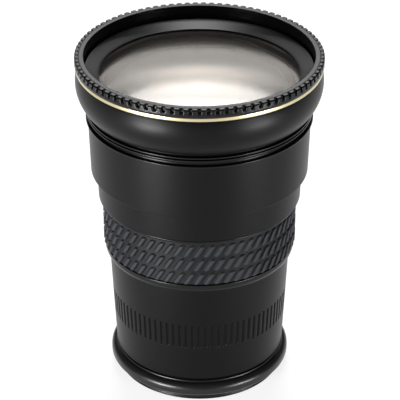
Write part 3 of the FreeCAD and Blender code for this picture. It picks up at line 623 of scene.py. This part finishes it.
# Rear barrel: a tapered turned tube with a band of upright flutes, milled with a ball-ended cutter
# before it was blasted and anodised.
REAR_OUTER = 33.26
REAR_FOOT = 9.4
REAR_TOP = 56.0
REAR_WALL_FOOT = 31.37
REAR_WALL_HEIGHT = 40.0
REAR_SPIGOT = 31.5
REAR_BORE = 29.6
REAR_LIP_BORE = 29.15
REAR_SEAT = 10.4
FLUTES = 86
FLUTE_HALF_WIDTH = 0.55
FLUTE_DEPTH = 0.48
FLUTE_FOOT = 13.84
FLUTE_LENGTH = 10.34
FLUTE_END_ROWS = 0.6
FLUTE_END_PAST = 0.15
FLUTE_PLAIN_FROM = 0.8
REAR_DRAWN_IN = 0.04
REAR_FOOT_EDGE = 0.14
REAR_SHELF_EDGE = 0.15
REAR_CHAMFER = 0.2
foot, top, outer = REAR_FOOT, REAR_TOP, REAR_OUTER
shelf = foot + REAR_WALL_HEIGHT
taper = (outer - REAR_WALL_FOOT) / REAR_WALL_HEIGHT
flute_middle = foot + FLUTE_FOOT + FLUTE_LENGTH / 2
flute_half_run = FLUTE_LENGTH / 2 - FLUTE_HALF_WIDTH
flute_low = flute_middle - flute_half_run
flute_high = flute_middle + flute_half_run

# Rows of points stand close together where the flutes run out, and far apart on the plain wall. The
# first and the last row are drawn in a little, which breaks the wall's edges.
run_out = np.linspace(-1, 1, 11) * FLUTE_END_ROWS
climb = np.concatenate([
    [foot + 0.12, foot + 0.25, foot + 4, foot + 9], flute_low - FLUTE_END_PAST + run_out,
    np.linspace(flute_low + FLUTE_PLAIN_FROM, flute_high - FLUTE_PLAIN_FROM, 6),
    flute_high + FLUTE_END_PAST + run_out, [foot + 29, foot + 35, shelf - 0.25, shelf - 0.1]])
wall = REAR_WALL_FOOT + taper * (climb - foot)
wall[[0, -1]] -= REAR_DRAWN_IN

# A flute's depth is its full depth times sqrt(1 - (distance from its middle line / half width)^2), so
# that it is a channel with a round floor and round ends.
flute_radius = REAR_WALL_FOOT + taper * (flute_middle - foot)
flute_pitch = 2 * math.pi * flute_radius / FLUTES
flute_columns = np.array([-0.85, -0.56, -0.5, -0.4, -0.22, 0, 0.22, 0.4, 0.5, 0.56, 0.85, flute_pitch / 2])
around = np.tile(flute_columns, FLUTES)
flute_angle = np.repeat(np.arange(FLUTES), len(flute_columns)) * 2 * math.pi / FLUTES + around / flute_radius
beyond = np.maximum(np.abs(climb - flute_middle) - flute_half_run, 0)
away = np.hypot(around[None, :], beyond[:, None]) / FLUTE_HALF_WIDTH
hollow = FLUTE_DEPTH * np.sqrt(np.maximum(1 - away ** 2, 0))
closing = np.array([
    [outer - REAR_SHELF_EDGE, shelf], [REAR_SPIGOT, shelf], [REAR_SPIGOT, top - REAR_CHAMFER],
    [REAR_SPIGOT - REAR_CHAMFER, top], [REAR_BORE + REAR_CHAMFER, top], [REAR_BORE, top - REAR_CHAMFER],
    [REAR_BORE, REAR_SEAT], [REAR_LIP_BORE, REAR_SEAT], [REAR_LIP_BORE, foot + EDGE],
    [REAR_LIP_BORE + EDGE, foot], [REAR_WALL_FOOT - REAR_FOOT_EDGE, foot]])
radius = np.concatenate([wall[:, None] - hollow, closing[:, :1] * np.ones(len(around))])
height = np.concatenate([climb, closing[:, 1]])[:, None]
rear_barrel = ring_piece(
    "rear_barrel_surface", flute_angle[None, :], radius, height, "rear_barrel", "barrel_satin_black")
rear_barrel.data.materials.append(barrel_black)

# Rear mount ring: a turned ring, smoother and glossier than the barrels, with a rounded shoulder, a
# low collar and the 62 mm male thread under its flange. It screws on the tail of the rear lens cell.
REAR_THREAD = 31.0
REAR_THREAD_LENGTH = 3.0
REAR_THREAD_UNDERCUT = 0.5
REAR_THREAD_START = 0.25
REAR_THREAD_RUN_OUT = 0.4
MOUNT_OUTER = 33.46
MOUNT_TOP = 8.2
MOUNT_ROUND = 2.5
MOUNT_COLLAR = 0.5
MOUNT_BORE = 27.5
MOUNT_SOCKET = 29.18
MOUNT_SOCKET_FLOOR = 1.0
MOUNT_CHAMFER = 0.7
MOUNT_STEP = 0.12
foot, top, outer = 0.0, MOUNT_TOP, MOUNT_OUTER
flange = foot + REAR_THREAD_LENGTH
thread_top = flange - REAR_THREAD_UNDERCUT
undercut = REAR_THREAD - REAR_THREAD_UNDERCUT
shoulder = top - MOUNT_COLLAR
neck = outer - MOUNT_ROUND
round_over = np.radians(np.linspace(0, 90, 14))[:, None]
quarter = MOUNT_ROUND * np.hstack([np.cos(round_over), np.sin(round_over)]) + [neck, shoulder - MOUNT_ROUND]

# The shoulder is a quarter circle. The rounded corners at its ends, of seven and of five points, are
# left out of the outlines below and above it, and the corner at the foot of the bore is kept once.
outline = np.concatenate([
    rounded([(MOUNT_BORE, foot), (REAR_THREAD, foot), (REAR_THREAD, thread_top), (undercut, thread_top),
             (undercut, flange), (outer - MOUNT_CHAMFER, flange), (outer, flange + MOUNT_CHAMFER),
             (outer, shoulder - MOUNT_ROUND)],
            [0.2, 0.3, CREASE, CREASE, CREASE, 0.25, 0.3, EDGE], steps=7)[:-7],
    quarter,
    rounded([(neck, shoulder), (neck, top), (MOUNT_SOCKET, top), (MOUNT_SOCKET, flange + MOUNT_SOCKET_FLOOR),
             (MOUNT_BORE, flange + MOUNT_SOCKET_FLOOR), (MOUNT_BORE, foot)],
            [CREASE, 0.14, EDGE, EDGE, EDGE, EDGE])[5:-5]])

# The thread keeps every point, and of the other points one in three is kept.
outline = sampled(outline, MOUNT_STEP)
near_thread = (outline[:, 1] < flange) & (outline[:, 0] > REAR_THREAD - 2 * ON_WALL)
one_in_three = np.arange(len(outline)) % 3 == 0
outline = outline[near_thread | one_in_three]
cut = (outline[:, 0] > REAR_THREAD - ON_WALL) & (outline[:, 1] < flange - REAR_THREAD_RUN_OUT)
hollow = thread_hollow(outline[:, 1:], angle, foot + REAR_THREAD_START, thread_top)
radius = outline[:, :1] - np.where(cut[:, None], hollow, 0)
mount_ring = ring_piece(
    "mount_ring_surface", angle, radius, outline[:, 1:], "rear_mount_ring", "rear_ring_satin_black")
mount_black = black_anodised(
    "mount_ring_black_anodised", colour=(0.005, 0.005, 0.0053), gloss=0.36, roughness=0.33, grain=0.10,
    turning=0.12)
mount_ring.data.materials.append(mount_black)

# Front retaining ring: the bevelled ring round the front glass, turned smooth and anodised black.
# Its skirt screws into the front cell.
RETAINER_OUTER = 40.45
RETAINER_FOOT = 117.1
RETAINER_TOP = 121.95
RETAINER_APERTURE = 35.6
RETAINER_BEVEL = 2.25
RETAINER_ROUNDING = 0.2
SKIRT_BORE = 37.9
SKIRT_OUTER = 38.8
SKIRT_LENGTH = 2.2
RETAINER_STEP = 0.8
GLASS_RADIUS = 36.8
APERTURE_GAP = 0.05
GLASS_EDGE_GAP = 0.15
CROWN_CURVE = 155.0


def sag(curve, radius):
    """Drop of a sphere from its vertex at that radius: curve - sqrt(curve^2 - radius^2)."""
    return curve - math.sqrt(curve ** 2 - radius ** 2)


foot, top, outer = RETAINER_FOOT, RETAINER_TOP, RETAINER_OUTER
crown_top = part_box("front_crown_element")[1].z * 1000
over_aperture = crown_top - sag(CROWN_CURVE, RETAINER_APERTURE) + APERTURE_GAP
over_edge = crown_top - sag(CROWN_CURVE, GLASS_RADIUS) + GLASS_EDGE_GAP
turned_piece("retaining_ring_surface", [
    (RETAINER_APERTURE, over_aperture), (GLASS_RADIUS, over_edge), (SKIRT_BORE, over_edge),
    (SKIRT_BORE, foot), (SKIRT_OUTER, foot), (SKIRT_OUTER, foot + SKIRT_LENGTH),
    (outer, foot + SKIRT_LENGTH), (outer, top), (RETAINER_APERTURE, top - RETAINER_BEVEL)],
    [CREASE] * 7 + [RETAINER_ROUNDING, EDGE], "front_retaining_ring", "rear_ring_satin_black",
    mount_black, RETAINER_STEP)

# Front doublet: the domed crown glass and the flint glass under it, cemented into one block. Light
# passes the cement unseen, so one closed surface stands for both.
FLINT_CURVE = 900.0
GLASS_INDEX = 1.6
COATING_SCALE = 40
COATING_DRIFT = 0.03
COATING_MIRROR = (1.0, 0.95, 0.9)
CROWN_TINT = (0.98, 0.96, 0.93)
FACE_ROWS = 40
FACE_COLUMNS = 240
SHARP_FROM = math.radians(35)


def lens_piece(name, front, rear, slot, *stands_for):
    """Closed lens, from (radius, vertex height, curve) of its front and rear face. Each face is the
    sphere z = vertex + curve - sign(curve) sqrt(curve^2 - r^2), with a negative curve for a face that
    falls away from its vertex, and the edge joins the two outer circles."""
    share = np.sin(np.linspace(0, math.pi / 2, FACE_ROWS))[1:]
    columns = FACE_COLUMNS
    a = np.arange(columns) * 2 * math.pi / columns
    r = np.concatenate([share * rear[0], (share * front[0])[::-1]])
    bent = np.repeat([rear, front], len(share), axis=0)
    z = bent[:, 1] + bent[:, 2] - np.sign(bent[:, 2]) * np.sqrt(bent[:, 2] ** 2 - r ** 2)
    rows = len(r)
    height = z[:, None] * np.ones(columns)
    points = np.stack([r[:, None] * np.sin(a), -r[:, None] * np.cos(a), height], axis=-1)
    points = np.concatenate([points.reshape(-1, 3), [[0, 0, rear[1]], [0, 0, front[1]]]]) * 0.001
    i, j = np.meshgrid(np.arange(rows - 1), np.arange(columns), indexing="ij")
    beside = (j + 1) % columns
    quads = [i * columns + j, i * columns + beside, (i + 1) * columns + beside, (i + 1) * columns + j]
    quads = np.stack(quads, axis=-1).reshape(-1, 4)
    k = np.arange(columns)
    last_row = (rows - 1) * columns
    rear_pole, front_pole = rows * columns, rows * columns + 1
    rear_fan = np.stack([np.full(columns, rear_pole), (k + 1) % columns, k], axis=-1)
    front_fan = np.stack([np.full(columns, front_pole), last_row + k, last_row + (k + 1) % columns], axis=-1)
    mesh = bpy.data.meshes.new(name)
    mesh.from_pydata(points, [], quads.tolist() + rear_fan.tolist() + front_fan.tolist())
    mesh.set_sharp_from_angle(angle=SHARP_FROM)
    on_rear = np.concatenate([i.ravel() < len(share) - 1, np.full(columns, True), np.full(columns, False)])
    mesh.polygons.foreach_set("material_index", on_rear.astype(np.int32))
    return placed_piece(name, mesh, slot, *stands_for)


def worked_out(tree, operation, *values):
    """Result of a Math node, whose values are numbers or the outputs of other nodes."""
    node = tree.nodes.new("ShaderNodeMath")
    node.operation = operation
    for value, socket in zip(values, node.inputs):
        if isinstance(value, bpy.types.NodeSocket):
            tree.links.new(value, socket)
        else:
            socket.default_value = value
    return node.outputs[0]


def coated_glass(name, tint, kept, haze):
    """Clear polished glass with a slightly hazy mirror, whose coating keeps the given share of the
    plain Fresnel reflection F: the mirror's part is F (kept + (1 - kept) F^4), so that total
    reflection stays total. The faint tint of the light that passes drifts a little with slow noise,
    as coatings do."""
    material, tree, shader = new_material(name)
    tree.nodes.remove(shader)
    drift = noise(tree, own_place(tree), COATING_SCALE, detail=2).outputs["Fac"]
    through = tree.nodes.new("ShaderNodeBsdfRefraction")
    through.inputs["Roughness"].default_value = 0.0
    through.inputs["IOR"].default_value = GLASS_INDEX
    tree.links.new(mixed(tree, drift, tint, shaded(tint, 1 - COATING_DRIFT)), through.inputs["Color"])
    mirror = tree.nodes.new("ShaderNodeBsdfAnisotropic")
    mirror.inputs["Roughness"].default_value = haze
    mirror.inputs["Color"].default_value = (*COATING_MIRROR, 1)
    fresnel = tree.nodes.new("ShaderNodeFresnel")
    fresnel.inputs["IOR"].default_value = GLASS_INDEX
    plain = fresnel.outputs[0]
    share = worked_out(tree, "MULTIPLY_ADD", worked_out(tree, "POWER", plain, 4), 1 - kept, kept)
    mix = tree.nodes.new("ShaderNodeMixShader")
    tree.links.new(worked_out(tree, "MULTIPLY", plain, share), mix.inputs[0])
    tree.links.new(through.outputs[0], mix.inputs[1])
    tree.links.new(mirror.outputs[0], mix.inputs[2])
    tree.links.new(mix.outputs[0], tree.nodes["Material Output"].inputs["Surface"])
    return material


flint_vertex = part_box("front_flint_element")[0].z * 1000 + sag(FLINT_CURVE, GLASS_RADIUS)
doublet = lens_piece(
    "front_doublet_surface", (GLASS_RADIUS, crown_top, -CROWN_CURVE),
    (GLASS_RADIUS, flint_vertex, -FLINT_CURVE), "coated_glass", "front_crown_element", "front_flint_element")
doublet.data.materials.append(coated_glass("front_glass", CROWN_TINT, kept=1.0, haze=0.17))
doublet.data.materials.append(coated_glass("front_glass_rear_face", CROWN_TINT, kept=0.1, haze=0.1))

# Inner glass, cells, baffle, spacer and screws: their CAD shapes are right, so they only get their
# finishes, polished glass for the two lenses and deep matt black for all the rest.
INNER_TINT = (0.98, 0.95, 0.90)
inner_glass = coated_glass("inner_glass", INNER_TINT, kept=0.2, haze=0.1)
cell_black = black_anodised(
    "cell_matt_black", colour=(0.024, 0.021, 0.019), gloss=0.3, roughness=0.6, grain=0.3, turning=0.2)
glass_nodes = ("second_front_element", "rear_negative_element")
black_nodes = ("element_spacer_ring", "front_lens_cell", "baffle_tube", "rear_lens_cell",
               "rear_retaining_ring", "barrel_lock_screws")
for finish, finished_nodes in ((inner_glass, glass_nodes), (cell_black, black_nodes)):
    for node in finished_nodes:
        nodes[node].data.materials.clear()
        nodes[node].data.materials.append(finish)

# Floor and room: a pale matt floor that shows white to the camera and in gloss and glass, but keeps
# the object's shadow, in a dim white room.
FLOOR_HALF_WIDTH_M = 6
FLOOR_WHITE = 0.8
FLOOR_GREY = 0.35
ROOM_STRENGTH = 0.1
reach = FLOOR_HALF_WIDTH_M
floor_mesh = bpy.data.meshes.new("floor")
floor_mesh.from_pydata([(-reach, -reach, 0), (reach, -reach, 0), (reach, reach, 0), (-reach, reach, 0)], [],
                       [(0, 1, 2, 3)])
floor = bpy.data.objects.new("floor", floor_mesh)
bpy.context.scene.collection.objects.link(floor)
floor_material, tree, shader = new_material("floor_white")
shader.inputs["Base Color"].default_value = (FLOOR_GREY, FLOOR_GREY, FLOOR_GREY, 1)
shader.inputs["Roughness"].default_value = 0.9
shader.inputs["Specular IOR Level"].default_value = 0.1
shader.inputs["Emission Color"].default_value = (1, 1, 1, 1)
rays = tree.nodes.new("ShaderNodeLightPath").outputs
seen = worked_out(tree, "MAXIMUM", rays["Is Camera Ray"], rays["Is Glossy Ray"])
seen = worked_out(tree, "MAXIMUM", seen, rays["Is Transmission Ray"])
tree.links.new(worked_out(tree, "MULTIPLY", seen, FLOOR_WHITE), shader.inputs["Emission Strength"])
floor.data.materials.append(floor_material)
world = bpy.data.worlds.new("studio")
bpy.context.scene.world = world
world.use_nodes = True
world.node_tree.nodes["Background"].inputs["Color"].default_value = (1, 1, 1, 1)
world.node_tree.nodes["Background"].inputs["Strength"].default_value = ROOM_STRENGTH

# Softboxes: four behind and above the lens, whose light the front glass and the bevelled ring mirror,
# and two pairs low at its sides, which draw the highlights down the barrels.
LAMP_AIM_M = 0.1


def softbox(name, azimuth, elevation, distance, width, height, radiance):
    """Elliptical lamp that faces a point on the axis from that azimuth and elevation; azimuth 0 is the
    camera's side and 90 the right. Its power is radiance times pi times the area of its ellipse."""
    lamp = bpy.data.lights.new(name, "AREA")
    lamp.shape = "ELLIPSE"
    lamp.size, lamp.size_y = width, height
    lamp.energy = radiance * math.pi * math.pi / 4 * width * height
    holder = bpy.data.objects.new(name, lamp)
    bpy.context.scene.collection.objects.link(holder)
    azimuth, elevation = math.radians(azimuth), math.radians(elevation)
    level = math.cos(elevation)
    away = Vector((math.sin(azimuth) * level, -math.cos(azimuth) * level, math.sin(elevation)))
    holder.location = away * distance + Vector((0, 0, LAMP_AIM_M))
    holder.rotation_mode = "QUATERNION"
    holder.rotation_quaternion = away.to_track_quat("Z", "Y")


softbox("overhead_softbox", azimuth=180, elevation=46, distance=1.0, width=0.60, height=0.26, radiance=12.0)
softbox("middle_softbox", azimuth=180, elevation=34, distance=1.2, width=0.80, height=0.20, radiance=3.5)
softbox("back_softbox", azimuth=180, elevation=25, distance=1.4, width=0.90, height=0.40, radiance=1.9)
softbox("zenith_softbox", azimuth=178, elevation=76, distance=1.0, width=0.36, height=0.28, radiance=15.0)
softbox("left_softbox", azimuth=-46, elevation=2, distance=1.2, width=0.45, height=0.28, radiance=22.0)
softbox("right_softbox", azimuth=48, elevation=2, distance=1.2, width=0.45, height=0.28, radiance=13.0)
softbox("left_low_softbox", azimuth=-42, elevation=-12, distance=0.35, width=0.14, height=0.05, radiance=80.0)
softbox("right_low_softbox", azimuth=52, elevation=-12, distance=0.35, width=0.14, height=0.05, radiance=40.0)

# Camera: it stands where the photograph was taken from, nearly 0.7 m from the middle of the object, and
# looks down at 30 degrees through a long lens.
CAMERA_PLACE_M = (0.0002, -0.5880, 0.4068)
CAMERA_TILT = math.radians(60)
camera_data = bpy.data.cameras.new("photo_camera")
camera_data.lens = 166.5
camera_data.sensor_width = 36.0
camera_data.clip_start = 0.01
camera = bpy.data.objects.new("photo_camera", camera_data)
bpy.context.scene.collection.objects.link(camera)
camera.location = CAMERA_PLACE_M
camera.rotation_euler = (CAMERA_TILT, 0, 0)
bpy.context.scene.camera = camera
bpy.context.scene.view_settings.view_transform = "Standard"
